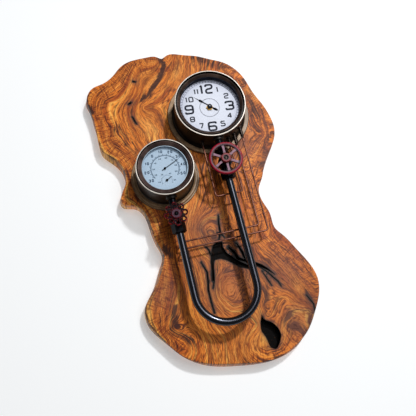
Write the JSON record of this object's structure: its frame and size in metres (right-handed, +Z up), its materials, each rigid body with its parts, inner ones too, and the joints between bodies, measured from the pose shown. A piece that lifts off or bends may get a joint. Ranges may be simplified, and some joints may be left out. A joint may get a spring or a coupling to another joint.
{
  "type": "weather station wall clock",
  "caption": "Live-edge wooden wall board carrying a quartz clock and a thermometer-hygrometer, joined by a bent pipe with two handwheel valves.",
  "frame": {"origin": "centre of the keyhole plate's round hole, in the plane of the board's back", "axes": "+Z up the board, face towards -Y, wall at +Y, +X to the viewer's right"},
  "size_m": [0.3282, 0.09, 0.5804],
  "materials": {
    "olive_wood": "oiled and waxed",
    "zinc_steel": "zinc plated",
    "patinated_bronze": "dark bronze with rubbed edges",
    "black_steel": "satin black",
    "bright_ring": "bright",
    "bronze_bezel": "brushed brown lacquer",
    "clear_glass": "clear",
    "white_dial": "matt print",
    "blue_dial": "matt print",
    "black_plastic": "moulded",
    "grey_plastic": "moulded",
    "plain_brass": "turned",
    "battery_sleeve": "plain dark sleeve",
    "black_hands": "satin black",
    "black_pipe": "gloss black lacquer",
    "crimson_enamel": "worn crimson enamel",
    "oxblood_enamel": "worn dark red enamel",
    "copper_wire": "drawn copper, browned",
    "nickel_ferrule": "nickel plated",
    "black_casting": "black japanned",
    "valve_steel": "turned"
  },
  "bodies": {
    "wall_board": {"battery": "battery_sleeve", "battery_contacts": "zinc_steel", "clock_bezel": "bronze_bezel", "clock_case": "black_steel", "clock_dial": "white_dial", "clock_glass": "clear_glass", "clock_housing": "patinated_bronze", "clock_housing_screws": "zinc_steel", "clock_inner_ring": "black_steel", "copper_wire_inner": "copper_wire", "copper_wire_outer": "copper_wire", "copper_wire_short": "copper_wire", "gauge_bezel": "bronze_bezel", "gauge_case": "black_steel", "gauge_dial": "blue_dial", "gauge_housing": "patinated_bronze", "gauge_housing_screws": "zinc_steel", "gauge_inner_ring": "bright_ring", "gauge_lens": "clear_glass", "hanger_plate": "zinc_steel", "hanger_screws": "zinc_steel", "humidity_coil": "plain_brass", "large_bonnet": "black_casting", "large_nipple": "black_pipe", "large_packing_nut": "black_casting", "large_union_nut": "black_casting", "large_valve_body": "black_casting", "movement_bushing": "plain_brass", "movement_case": "black_plastic", "movement_nut": "plain_brass", "small_bonnet": "black_casting", "small_nipple": "black_pipe", "small_packing_nut": "black_casting", "small_union_nut": "black_casting", "small_valve_body": "black_casting", "temperature_coil": "plain_brass", "u_pipe": "black_pipe", "wire_ferrules": "nickel_ferrule", "wood_board": "olive_wood"},
    "clock_minute": {"minute_hand": "black_hands", "minute_shaft": "plain_brass", "hand_cap": "bright_ring"},
    "clock_hour": {"hour_hand": "black_hands", "hour_tube": "grey_plastic"},
    "clock_setting": {"setting_knob": "black_plastic"},
    "thermometer": {"temperature_hand": "black_hands", "temperature_arbor": "zinc_steel"},
    "hygrometer": {"humidity_hand": "black_hands", "humidity_arbor": "zinc_steel"},
    "large_wheel": {"large_handwheel": "crimson_enamel", "large_spindle": "valve_steel", "large_wheel_screw": "valve_steel"},
    "large_piston": {"large_plug": "valve_steel"},
    "small_piston": {"small_plug": "valve_steel"},
    "small_wheel": {"small_handwheel": "oxblood_enamel", "small_spindle": "valve_steel", "small_wheel_screw": "valve_steel"}
  },
  "joints": [
    {"name": "minute_turn", "type": "hinge", "parent": "wall_board", "child": "clock_minute", "pos_m": [0.044, -0.064, -0.1], "axis": [0, 1, 0], "continuous": true},
    {"name": "hour_turn", "type": "hinge", "parent": "wall_board", "child": "clock_hour", "pos_m": [0.044, -0.064, -0.1], "axis": [0, 1, 0], "continuous": true},
    {"name": "setting_turn", "type": "hinge", "parent": "wall_board", "child": "clock_setting", "pos_m": [0.04518, -0.04, -0.08705], "axis": [0, 1, 0], "continuous": true},
    {"name": "temperature_turn", "type": "hinge", "parent": "wall_board", "child": "thermometer", "pos_m": [-0.0564, -0.069, -0.19689], "axis": [0, 1, 0], "range_deg": [-197, 73]},
    {"name": "humidity_turn", "type": "hinge", "parent": "wall_board", "child": "hygrometer", "pos_m": [-0.05748, -0.069, -0.21736], "axis": [0, 1, 0], "range_deg": [-158, 42]},
    {"name": "large_wheel_turn", "type": "hinge", "parent": "wall_board", "child": "large_wheel", "pos_m": [0.044, -0.084, -0.2055], "axis": [0, 1, 0], "range_deg": [-1440, 0]},
    {"name": "large_plug_lift", "type": "slide", "parent": "wall_board", "child": "large_piston", "axis": [0, -1, 0], "range_m": [0, 0.006]},
    {"name": "small_plug_lift", "type": "slide", "parent": "wall_board", "child": "small_piston", "axis": [0, -1, 0], "range_m": [0, 0.003]},
    {"name": "small_wheel_turn", "type": "hinge", "parent": "small_piston", "child": "small_wheel", "pos_m": [-0.0564, -0.084, -0.27939], "axis": [0, 1, 0], "range_deg": [-720, 0]}
  ],
  "couplings": [
    {"joint": "hour_turn", "follows": "minute_turn", "ratio": 0.083333},
    {"joint": "setting_turn", "follows": "minute_turn", "ratio": 1},
    {"joint": "large_plug_lift", "follows": "large_wheel_turn", "m_per_rad": -0.00023873},
    {"joint": "small_plug_lift", "follows": "small_wheel_turn", "m_per_rad": -0.00023873}
  ]
}
